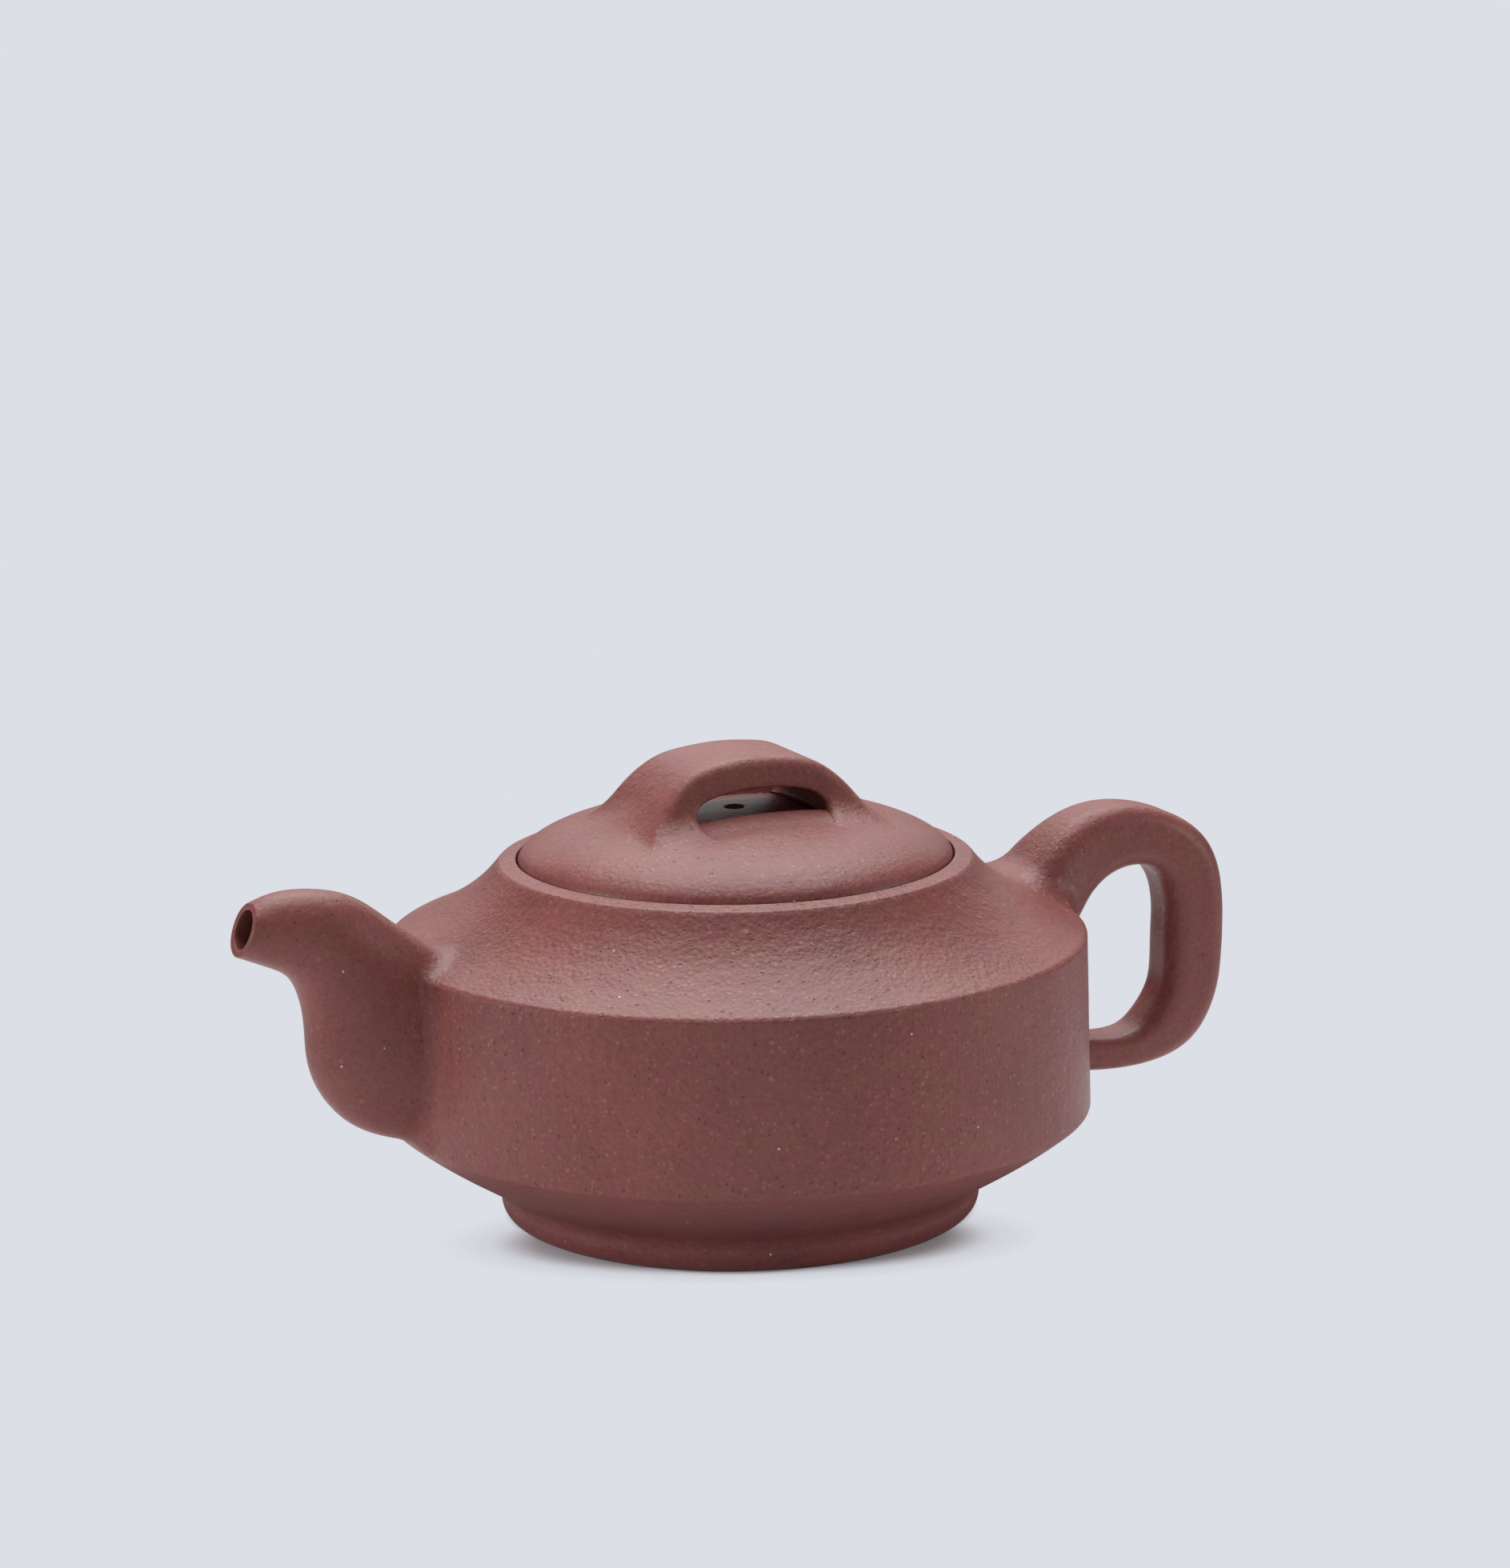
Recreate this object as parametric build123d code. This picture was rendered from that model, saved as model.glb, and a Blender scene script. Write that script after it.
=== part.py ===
from build123d import *
import os

# A yixing clay teapot with a straight wall, a ring foot and a bridge knob. Sizes are in millimetres.
# The origin is the middle of the foot's resting face. +Z is up, the spout points to -X and the
# handle to +X. Heights are measured from the table.

# Clay body: a slab-built drum
clay_wall = 3.2
wall_top_radius = 55.9
wall_taper = 0.4
wall_bottom_height = 17.4
wall_top_height = 45.2
edge_bevel = 0.5
floor_thickness = 3.5
underside_share = (0.44, 0.14)
shoulder_low_share = (0.37, 0.22)
shoulder_high_share = (0.75, 0.51)

# Foot ring under the body
foot_height = 7.5
foot_rest_radius = 34.4
foot_toe = 3.2
foot_belly = 1.7
foot_belly_height = 2.25
neck_radius = 38.1
foot_ring_width = 5.0
neck_fillet = 1.2
neck_fillet_height = 0.84

# Mouth of the pot
mouth_radius = 34.9
mouth_ring_width = 2.7
rim_rise = 0.55
rim_bevel = 0.5
rim_height = 58.5
lid_seat_depth = 3.0
lid_seat_width = 3.7

# Spout: one bend, from a tall root on the wall to a small round mouth cut at a slant.
# Each oval spans a point of the under side and a point of the upper side: how far out from the
# wall's top it lies, and its height.
spout_bore_radius = 3.1
spout_root_wall = 3.0
spout_bands = [
    # under side, upper side, half width
    ((28.8, 51.5), (25.7, 59.6), 4.3),
    ((23.9, 49.4), (21.5, 60.8), 5.2),
    ((20.4, 47.4), (15.9, 60.7), 5.8),
    ((18.4, 43.8), (9.7, 59.0), 6.3),
    ((17.5, 38.6), (3.7, 54.8), 6.8),
    ((16.9, 31.8), (-2.3, 50.2), 7.5),
    ((13.7, 25.6), (-7.3, 45.6), 8.2),
    ((7.3, 20.8), (-11.3, 39.0), 8.6),
    ((-1.9, 18.2), (-11.9, 33.0), 8.6),
]

# Ball strainer inside the wall, over the spout's root
strainer_radius = 11.0
strainer_thickness = 2.0
strainer_hole_radius = 1.1
strainer_height = 31.5
strainer_window_radius = 8.5
strainer_ring_tilts = ((24, 6), (46, 10))  # degrees off the middle hole, number of holes

# Ear handle: each rounded band spans a point of the outer side and a point of the inner side,
# measured like the spout's
handle_corner_share = 0.33
handle_bands = [
    # outer side, inner side, width
    ((-8.9, 47.0), (-0.9, 37.0), 17.5),
    ((-3.8, 53.0), (3.7, 43.0), 15.4),
    ((1.6, 57.2), (6.1, 45.6), 13.2),
    ((7.5, 59.4), (9.1, 47.8), 11.8),
    ((14.2, 59.4), (13.3, 49.2), 10.8),
    ((22.0, 57.0), (17.5, 48.6), 10.6),
    ((28.5, 51.7), (19.7, 45.6), 10.6),
    ((31.0, 43.0), (20.6, 40.6), 10.6),
    ((30.9, 34.0), (20.4, 34.6), 10.6),
    ((29.5, 25.6), (19.9, 28.4), 10.4),
    ((25.1, 18.7), (17.5, 24.4), 10.0),
    ((18.5, 16.0), (14.7, 21.7), 9.4),
    ((11.5, 15.4), (10.5, 20.9), 9.0),
    ((4.7, 15.8), (4.7, 21.3), 9.0),
    ((-1.9, 16.6), (-1.9, 22.1), 9.0),
]

# Lid
lid_gap = 0.3
lid_edge_height = 2.9
lid_dome_rise = 8.2
dome_low_share = (0.047, 0.53)
dome_high_share = (0.48, 1)
lid_clay = 3.2
vent_radius = 1.1
vent_mouth_radius = 1.8
vent_mouth_depth = 1.3
flange_gap = 0.3
flange_thickness = 2.4
flange_depth = 7.0

# Bridge knob on the lid, with its feet wiped out over the dome and a finger slot between them
knob_rise = 9.0
knob_half_length = 17.5
knob_width = 20.0
knob_edge = 3.0
knob_foot_height = 1.2
knob_foot_spread = 4.0
knob_foot_drop = 2.5
haunch_low_share = (0.62, 0)
haunch_high_share = (0.9, 0.38)
foot_sweep_share = (0.2, 0.65)
slot_length = 23.0
knob_clay = 4.2
slot_floor_rise = 0.4
slot_end_rise = 1.6
slot_end_curl = 1.2
slot_arch_rise = 1.4

# The clay wiped round the knob's feet: spread lengthways, spread sideways, height above the crown
knob_wipe = [(-0.3, -0.3, 2.4), (0.3, 0.5, 1.2), (1.2, 1.8, 0.1), (3.0, 4.0, -1.2), (5.0, 7.0, -3.0)]

# Heights and radii that follow from the sizes above
floor_top = foot_height + floor_thickness
seat_height = rim_height - lid_seat_depth
seat_radius = mouth_radius - lid_seat_width
rim_outer_radius = mouth_radius + mouth_ring_width
shoulder_top_radius = rim_outer_radius + rim_bevel
shoulder_top_height = rim_height - rim_rise - rim_bevel
shoulder_edge_radius = wall_top_radius - edge_bevel
shoulder_edge_height = wall_top_height + edge_bevel
inner_radius = wall_top_radius - clay_wall
wall_foot_radius = wall_top_radius + wall_taper
lid_radius = mouth_radius - lid_gap
flange_radius = seat_radius - flange_gap
lid_edge_top = seat_height + lid_edge_height
lid_crown_height = lid_edge_top + lid_dome_rise
knob_crest_height = lid_crown_height + knob_rise
slot_top_height = knob_crest_height - knob_clay
slot_end_height = lid_crown_height + slot_end_rise


def rz(radius, height):
    """A point of a turned outline."""
    return Vector(radius, 0, height)


def part_way(start, end, share):
    """A point that lies a share of the way from start to end, across and up."""
    across_share, up_share = share
    return rz(start.X + (end.X - start.X) * across_share, start.Z + (end.Z - start.Z) * up_share)


def turned(outline):
    """The solid of revolution of a closed outline about the pot's axis."""
    return revolve(make_face(Wire(outline)), Axis.Z)


def underside_curve(start, end):
    """The hollow sweep from the neck of the foot up to the foot of the wall."""
    return Bezier(start, part_way(start, end, underside_share), end)


def shoulder_curve(start, end):
    """The hollow sweep from the edge of the shoulder up to the mouth."""
    return Bezier(start, part_way(start, end, shoulder_low_share),
                  part_way(start, end, shoulder_high_share), end)


def outer_outline():
    """The outside of foot, underside, wall, shoulder and rim, from the table to the mouth."""
    toe = rz(foot_rest_radius + foot_toe, 0)
    belly = rz(neck_radius + foot_belly, foot_belly_height)
    neck = rz(neck_radius, foot_height)
    above_neck = rz(neck_radius + neck_fillet, foot_height + neck_fillet_height)
    wall_foot = rz(wall_foot_radius, wall_bottom_height)
    wall_top = rz(wall_top_radius, wall_top_height)
    shoulder_edge = rz(shoulder_edge_radius, shoulder_edge_height)
    shoulder_top = rz(shoulder_top_radius, shoulder_top_height)
    rim_edge = rz(rim_outer_radius, rim_height - rim_rise)
    return [
        Bezier(rz(foot_rest_radius, 0), toe, belly, neck),
        Bezier(neck, rz(neck_radius, above_neck.Z), above_neck),
        underside_curve(above_neck, wall_foot),
        Line(wall_foot, wall_top),
        Line(wall_top, shoulder_edge),
        shoulder_curve(shoulder_edge, shoulder_top),
        Line(shoulder_top, rim_edge),
        Line(rim_edge, rz(mouth_radius, rim_height)),
    ]


def body_shell():
    """The whole clay body as one turned wall, before it is parted at its luted joints."""
    foot_inner = foot_rest_radius - foot_ring_width
    inner_floor = rz(neck_radius, floor_top)
    inner_wall_foot = rz(inner_radius, wall_bottom_height + clay_wall * 0.8)
    inner_shoulder = rz(inner_radius, shoulder_edge_height - clay_wall * 0.8)
    inner_top = rz(seat_radius + clay_wall, seat_height - clay_wall)
    corners = Polyline(
        rz(mouth_radius, rim_height), rz(mouth_radius, seat_height), rz(seat_radius, seat_height),
        rz(seat_radius, inner_top.Z), inner_top)
    floor = Polyline(
        inner_floor, rz(0, floor_top), rz(0, foot_height), rz(foot_inner, foot_height),
        rz(foot_inner, 0), rz(foot_rest_radius, 0))
    inside = [
        shoulder_curve(inner_shoulder, inner_top),
        Line(inner_shoulder, inner_wall_foot),
        underside_curve(inner_floor, inner_wall_foot),
    ]
    return turned(outer_outline() + corners.edges() + inside + floor.edges())


def solid_body():
    """The body's outside shape, filled, to seat the spout and the handle against."""
    core = Polyline(rz(mouth_radius, rim_height), rz(0, rim_height), rz(0, 0), rz(foot_rest_radius, 0))
    return turned(outer_outline() + core.edges())


def between(solid, low, high):
    """The slice of a solid between two heights, parted at a luted joint."""
    reach = 4 * wall_foot_radius
    slab = Pos(0, 0, (low + high) / 2) * Box(reach, reach, high - low)
    return solid & slab


def foot_ring():
    return between(body_shell(), 0, foot_height)


def base():
    return between(body_shell(), foot_height, wall_bottom_height)


def wall():
    """The straight wall, with the round window that lets the tea into the spout."""
    window = Pos(-inner_radius, 0, strainer_height) * Rot(0, 90, 0) * Cylinder(
        strainer_window_radius, 4 * clay_wall)
    return between(body_shell(), wall_bottom_height, wall_top_height) - window


def shoulder():
    return between(body_shell(), wall_top_height, seat_height)


def mouth_ring():
    return between(body_shell(), seat_height, rim_height)


def across(first, second):
    """The plane that spans two points of the middle plane, with its Y from the first to the second."""
    rise = (second - first).normalized()
    return Plane(origin=(first + second) / 2, x_dir=(0, 1, 0), z_dir=Vector(0, 1, 0).cross(rise))


def spout_oval(under, upper, half_width, wall_share):
    """An oval across the spout, drawn in by its share of the wall."""
    first, second = rz(-wall_top_radius - under[0], under[1]), rz(-wall_top_radius - upper[0], upper[1])
    half_height = (second - first).length / 2
    return across(first, second) * Ellipse(half_width - wall_share, half_height - wall_share)


def spout():
    """The spout, seated on the wall and shoulder, with its channel through to the window."""
    lip = spout_bands[0][2] - spout_bore_radius
    last = len(spout_bands) - 1
    outside = loft([spout_oval(*oval, 0) for oval in spout_bands])
    channel = loft([
        spout_oval(*oval, lip + (spout_root_wall - lip) * n / last) for n, oval in enumerate(spout_bands)])
    return outside - channel - solid_body()


def strainer():
    """A pierced ball cap, luted inside the wall over the window."""
    middle = Pos(-inner_radius, 0, strainer_height)
    ball = middle * (Sphere(strainer_radius) - Sphere(strainer_radius - strainer_thickness))
    room = Pos(0, 0, strainer_height) * Cylinder(inner_radius, 4 * strainer_radius)
    cap = ball & room
    drill = Pos(strainer_radius, 0, 0) * Rot(0, 90, 0) * Cylinder(
        strainer_hole_radius, 3 * strainer_thickness)
    holes = [drill]
    for ring_tilt, count in strainer_ring_tilts:
        for n in range(count):
            holes.append(Rot(360 * n / count, 0, 0) * Rot(0, ring_tilt, 0) * drill)
    return cap - [middle * hole for hole in holes]


def handle_band(outer, inner, width):
    """A band across the handle, with its corners rounded by a share of its thickness."""
    first, second = rz(wall_top_radius + inner[0], inner[1]), rz(wall_top_radius + outer[0], outer[1])
    thickness = (second - first).length
    return across(first, second) * RectangleRounded(width, thickness, handle_corner_share * thickness)


def handle():
    """The ear, from the shoulder's edge round to the foot of the wall."""
    return loft([handle_band(*band) for band in handle_bands]) - solid_body()


def lid_dome(edge_radius, edge_height, crown_height):
    """The domed outline of the lid from its edge to the crown."""
    edge = rz(edge_radius, edge_height)
    crown = rz(0, crown_height)
    return Bezier(edge, part_way(edge, crown, dome_low_share), part_way(edge, crown, dome_high_share), crown)


def solid_lid():
    """The lid's outside shape, filled, to seat the knob against."""
    sides = Polyline(
        rz(0, lid_crown_height), rz(0, seat_height), rz(lid_radius, seat_height),
        rz(lid_radius, lid_edge_top))
    return turned([lid_dome(lid_radius, lid_edge_top, lid_crown_height)] + sides.edges())


def air_vent():
    """The vent through the crown and the clay wiped over it, flared at its upper end."""
    mouth_height = lid_crown_height + slot_floor_rise
    flare = Pos(0, 0, mouth_height - vent_mouth_depth / 2) * Cone(
        vent_radius, vent_mouth_radius, vent_mouth_depth)
    return flare + Pos(0, 0, lid_crown_height - lid_clay) * Cylinder(vent_radius, 4 * lid_clay)


def lid_disc():
    """A domed slab that drops onto the seat, with a vent through its crown."""
    hollow_radius = flange_radius - flange_thickness
    floor = Polyline(
        rz(0, lid_crown_height - lid_clay), rz(0, seat_height), rz(hollow_radius, seat_height))
    hollow = turned([lid_dome(hollow_radius, seat_height, lid_crown_height - lid_clay)] + floor.edges())
    return solid_lid() - hollow - air_vent()


def lid_flange():
    """The deep ring under the lid that keeps it in the mouth while tea is poured."""
    middle = seat_height - flange_depth / 2
    ring = Pos(0, 0, middle) * (
        Cylinder(flange_radius, flange_depth)
        - Cylinder(flange_radius - flange_thickness, flange_depth))
    lower_edges = ring.edges().group_by(Axis.Z)[0]
    return fillet(lower_edges, flange_thickness * 0.3)


def knob_side():
    """The right half of the bridge seen from the front: crest, haunch and the foot's outward sweep."""
    crest = rz(0, knob_crest_height)
    spring = rz(knob_half_length, lid_crown_height + knob_foot_height)
    toe = rz(knob_half_length + knob_foot_spread, lid_crown_height - knob_foot_drop)
    return [
        Bezier(crest, part_way(crest, spring, haunch_low_share),
               part_way(crest, spring, haunch_high_share), spring),
        Bezier(spring, part_way(spring, toe, foot_sweep_share), toe),
    ]


def knob_bridge():
    """The bridge before its slot is cut, with its long edges rounded."""
    right = knob_side()
    left = [edge.mirror(Plane.YZ) for edge in right]
    toe = right[-1] @ 1
    foot = Polyline(toe, rz(toe.X, seat_height), rz(-toe.X, seat_height), rz(-toe.X, toe.Z))
    bridge = extrude(make_face(Wire(right + left + foot.edges())), knob_width / 2, both=True)
    long_edges = bridge.edges().filter_by(lambda edge: edge.center().Z > lid_crown_height + knob_foot_height)
    return fillet(long_edges, knob_edge)


def knob_feet():
    """The clay wiped from the bridge out over the dome, all round it."""
    bands = []
    for along, aside, rise in knob_wipe:
        length, width = 2 * (knob_half_length + along), knob_width + 2 * aside
        band = RectangleRounded(length, width, knob_edge + aside)
        bands.append(Pos(0, 0, lid_crown_height + rise) * band)
    return loft(bands)


def finger_slot():
    """The slot under the bridge, with an arched top and rounded upper corners."""
    half = slot_length / 2
    floor = rz(half, lid_crown_height + slot_floor_rise)
    end = rz(half, slot_end_height)
    haunch = rz(half - slot_end_curl, slot_top_height - slot_arch_rise)
    right = [Line(floor, end), Bezier(end, rz(half, haunch.Z - slot_end_curl / 2), haunch)]
    left = [edge.mirror(Plane.YZ) for edge in right]
    arch = ThreePointArc(haunch, rz(0, slot_top_height), rz(-haunch.X, haunch.Z))
    face = make_face(Wire(right + left + [arch, Line(floor, rz(-floor.X, floor.Z))]))
    return extrude(face, 2 * knob_width, both=True)


def knob():
    """A broad bridge of clay with a finger slot under it, wiped onto the crown of the lid."""
    return knob_bridge() + knob_feet() - finger_slot() - solid_lid() - air_vent()


pieces = {
    "foot_ring": foot_ring,
    "base": base,
    "body_wall": wall,
    "shoulder": shoulder,
    "mouth_ring": mouth_ring,
    "spout": spout,
    "strainer": strainer,
    "handle": handle,
    "lid_disc": lid_disc,
    "lid_flange": lid_flange,
    "knob": knob,
}

os.makedirs("parts", exist_ok=True)
for name, make in pieces.items():
    export_step(make(), f"parts/{name}.step")
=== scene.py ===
import math

import bpy
import numpy as np
from mathutils import Euler, Matrix, Vector, noise


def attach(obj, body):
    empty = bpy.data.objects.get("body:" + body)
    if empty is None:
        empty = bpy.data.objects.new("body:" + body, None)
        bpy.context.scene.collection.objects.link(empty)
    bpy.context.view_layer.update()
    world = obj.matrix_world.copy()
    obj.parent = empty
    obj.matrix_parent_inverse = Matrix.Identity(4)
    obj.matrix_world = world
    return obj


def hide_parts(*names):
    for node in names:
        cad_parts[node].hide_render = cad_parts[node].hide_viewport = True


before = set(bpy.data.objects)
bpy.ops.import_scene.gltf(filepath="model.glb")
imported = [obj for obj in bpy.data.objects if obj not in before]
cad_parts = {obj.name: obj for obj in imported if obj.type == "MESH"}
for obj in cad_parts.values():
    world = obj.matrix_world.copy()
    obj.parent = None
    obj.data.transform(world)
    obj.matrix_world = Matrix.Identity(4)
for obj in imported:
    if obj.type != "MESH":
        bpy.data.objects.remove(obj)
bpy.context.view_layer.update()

# ---------------------------------------------------------------------------------------------
# The clay body: ring foot, hollow-sided base, straight wall, sloping shoulder and mouth ring.
# Five slabs of purple-brown clay, shaped on a turntable, luted edge to edge and burnished with a
# horn spatula, so each one is a slice of a single turned outline. Sizes are in millimetres.
MM = 0.001
TURNS = 360
foot_rest_radius = 34.4
foot_inner_radius = 29.4
foot_height = 7.5
neck_radius = 38.1
floor_top = 11.0
wall_foot = (56.3, 17.4)
wall_top = (55.9, 45.2)
shoulder_edge = (55.4, 45.7)
shoulder_top = (38.1, 57.45)
rim_edge = (37.6, 57.95)
mouth = (34.9, 58.5)
seat_height = 55.5
seat_radius = 31.2
inner_radius = 52.7
inner_wall_foot = (inner_radius, 19.96)
inner_wall_top = (inner_radius, 43.14)
ledge_root = (34.4, 52.3)


def bend(start, first, second, end, steps):
    """Points of a cubic curve, both ends included."""
    points = []
    for n in range(steps + 1):
        t = n / steps
        weights = ((1 - t) ** 3, 3 * t * (1 - t) ** 2, 3 * t * t * (1 - t), t ** 3)
        points.append(tuple(
            sum(w * p[axis] for w, p in zip(weights, (start, first, second, end))) for axis in (0, 1)))
    return points


def share(start, end, across, up):
    """A point part of the way from start to end, across and up."""
    return (start[0] + (end[0] - start[0]) * across, start[1] + (end[1] - start[1]) * up)


def underside(start, end):
    """The hollow sweep inside, from the edge of the floor up to the foot of the wall."""
    hollow = share(start, end, 0.44, 0.14)
    return bend(start, share(start, hollow, 2 / 3, 2 / 3), share(end, hollow, 2 / 3, 2 / 3), end, 22)


def shoulder_sweep(start, end):
    """The hollow sweep from the edge of the shoulder up to the mouth."""
    return bend(start, share(start, end, 0.37, 0.22), share(start, end, 0.75, 0.51), end, 24)


def softened(path, corners, steps=6):
    """The path with each named corner rounded off, as burnishing leaves it."""
    path = [tuple(p) for p in path]
    for corner, radius in corners:
        at = min(range(len(path)), key=lambda n: math.dist(path[n], corner))
        ends = []
        for way in (-1, 1):
            n = at
            while 0 <= n + way < len(path) and math.dist(path[n + way], corner) < 1.9 * radius:
                n += way
            n = min(max(n + way, 0), len(path) - 1)
            reach = math.dist(path[n], corner)
            ends.append((n, [share(corner, path[n], s * radius / reach, s * radius / reach)
                             for s in (1, 1.8)]))
        (low, before), (high, after) = ends
        arc = []
        for n in range(steps + 1):
            t = n / steps
            arc.append(tuple(
                (1 - t) ** 2 * before[0][axis] + 2 * t * (1 - t) * corner[axis] + t * t * after[0][axis]
                for axis in (0, 1)))
        path = path[:low + 1] + [before[1]] + arc + [after[1]] + path[high:]
    return path


def spaced(path, step):
    """The path with its long runs divided, so that no face is longer than step."""
    points = [path[0]]
    for start, end in zip(path, path[1:]):
        count = max(1, math.ceil(math.dist(start, end) / step))
        points += [share(start, end, n / count, n / count) for n in range(1, count + 1)]
    return points


def between(path, low, high):
    """The stretch of a rising path between two heights."""
    points = []
    for start, end in zip(path, path[1:]):
        for height in sorted((low, high), reverse=start[1] > end[1]):
            if min(start[1], end[1]) < height < max(start[1], end[1]):
                points.append(share(start, end, *[(height - start[1]) / (end[1] - start[1])] * 2))
        if low - 1e-6 <= end[1] <= high + 1e-6:
            points.append(end)
    if low - 1e-6 <= path[0][1] <= high + 1e-6:
        points.insert(0, path[0])
    return points


# Outside, the foot rolls up from its resting face to the neck, the neck turns outward, and the
# underside opens from there to the wall. The middle points of each bend lie on the tangents of its ends.
neck = (neck_radius + 0.2, 4.0)
underside_root = (neck_radius + 1.9, 6.7)
foot_roll = bend((foot_rest_radius, 0), (foot_rest_radius + 3.0, 0), (neck_radius + 0.6, 1.8), neck, 14)
neck_turn = bend(neck, (neck_radius + 0.1, 5.1), (neck_radius + 0.7, 5.9), underside_root, 10)
underside_flare = bend(underside_root, (neck_radius + 5.0, 8.7), (neck_radius + 11.9, 12.15), wall_foot, 22)
outside = softened(
    foot_roll + neck_turn[1:] + underside_flare[1:]
    + [wall_top, shoulder_edge]
    + shoulder_sweep(shoulder_edge, shoulder_top)[1:]
    + [rim_edge, mouth],
    [(wall_foot, 0.5), (wall_top, 0.3), (shoulder_edge, 0.3),
     (shoulder_top, 0.25), (rim_edge, 0.25)])
inside = softened(
    [(neck_radius, floor_top)] + underside((neck_radius, floor_top), inner_wall_foot)[1:]
    + [inner_wall_top] + shoulder_sweep(inner_wall_top, ledge_root)[1:]
    + [(seat_radius, ledge_root[1]), (seat_radius, seat_height)],
    [(inner_wall_foot, 2.0), (inner_wall_top, 2.0), ((seat_radius, ledge_root[1]), 0.4)])


# How wide the waves of the surface are, and how far they leave it. Where they lie follows the seed,
# so every run gives the same pot.
noise.seed_set(5)
broad_wave, broad_swell = 17.0, 0.07
fine_wave, fine_swell = 3.4, 0.022
sharp_angle = math.radians(38)


def handmade(point):
    """The slight unevenness that a hand-built pot keeps."""
    point = Vector(point)
    broad = noise.noise_vector(point / broad_wave) * broad_swell
    fine = noise.noise_vector(point / fine_wave) * fine_swell
    return point + broad + fine


def moulded(name, verts, faces, clay_finish, body, node):
    """One smooth-shaded piece in millimetres, dressed in its clay, riding on its body in place of node.
    The lid is turned true, so that it still sits flush wherever it is turned to."""
    mesh = bpy.data.meshes.new(name)
    settle = handmade if body == "pot" else Vector
    mesh.from_pydata([settle(v) * MM for v in verts], [], faces)
    mesh.validate()
    for face in mesh.polygons:
        face.use_smooth = True
    mesh.set_sharp_from_angle(angle=sharp_angle)
    mesh.materials.append(clay_finish)
    piece = bpy.data.objects.new(name, mesh)
    bpy.context.scene.collection.objects.link(piece)
    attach(piece, body)
    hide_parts(node)
    return piece


def turned(outline):
    """Corners and faces of a closed outline turned about the pot's axis."""
    verts, rings, faces = [], [], []
    for radius, height in outline:
        if radius < 1e-6:
            rings.append([len(verts)] * TURNS)
            verts.append((0, 0, height))
            continue
        rings.append([len(verts) + n for n in range(TURNS)])
        for n in range(TURNS):
            angle = 2 * math.pi * n / TURNS
            verts.append((radius * math.cos(angle), radius * math.sin(angle), height))
    for low, high in zip(rings, rings[1:] + rings[:1]):
        for n in range(TURNS):
            m = (n + 1) % TURNS
            face = []
            for corner in (low[n], low[m], high[m], high[n]):
                if corner not in face:
                    face.append(corner)
            if len(face) > 2:
                faces.append(face)
    return verts, faces


class Value:
    """A socket of a node tree. Sums and products of values add their Math nodes."""

    def __init__(self, tree, socket=None):
        self.tree = tree
        self.socket = socket

    def node(self, kind, settings, sockets, output=0):
        made = self.tree.nodes.new(kind)
        for name, value in settings.items():
            if name == "stops":
                while len(made.color_ramp.elements) < len(value):
                    made.color_ramp.elements.new(1.0)
                for stop, (place, colour) in zip(made.color_ramp.elements, value):
                    stop.position = place
                    stop.color = (*colour, 1.0)
            else:
                setattr(made, name, value)
        for name, value in sockets.items():
            if isinstance(value, Value):
                self.tree.links.new(value.socket, made.inputs[name])
            else:
                made.inputs[name].default_value = value
        return Value(self.tree, made.outputs[output] if made.outputs else None)

    def math(self, operation, first, second, clamp=False):
        return self.node("ShaderNodeMath", {"operation": operation, "use_clamp": clamp},
                         {0: first, 1: second})

    def __add__(self, other):
        return self.math("ADD", self, other)

    __radd__ = __add__

    def __sub__(self, other):
        return self.math("SUBTRACT", self, other)

    def __rsub__(self, other):
        return self.math("SUBTRACT", other, self)

    def __mul__(self, other):
        return self.math("MULTIPLY", self, other)

    __rmul__ = __mul__

    def __truediv__(self, other):
        return self.math("DIVIDE", self, other)

    def __pow__(self, other):
        return self.math("POWER", self, other)

    def above(self, low, high):
        """0 below low, 1 above high, and a smooth step between."""
        return self.node("ShaderNodeMapRange", {"interpolation_type": "SMOOTHSTEP"},
                         {"Value": self, "From Min": low, "From Max": high})

    def tint(self, factor, other, blend="MIX"):
        """This colour mixed towards another one."""
        return self.node("ShaderNodeMix", {"data_type": "RGBA", "blend_type": blend},
                         {0: factor, 6: self, 7: other}, 2)

    def stretched(self, along):
        """This vector with each axis scaled."""
        return self.node("ShaderNodeVectorMath", {"operation": "MULTIPLY"}, {0: self, 1: along})

    def length(self):
        """How long this vector is."""
        return self.node("ShaderNodeVectorMath", {"operation": "LENGTH"}, {0: self}, "Value")

    def along(self, direction):
        """How far this vector reaches in a direction."""
        return self.node("ShaderNodeVectorMath", {"operation": "DOT_PRODUCT"},
                         {0: self, 1: direction}, "Value")


# How far from the pot's axis the body's sand ends, and from where a limb is all fine sand, in metres.
body_reach, limb_reach = 0.0575, 0.0630


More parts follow.
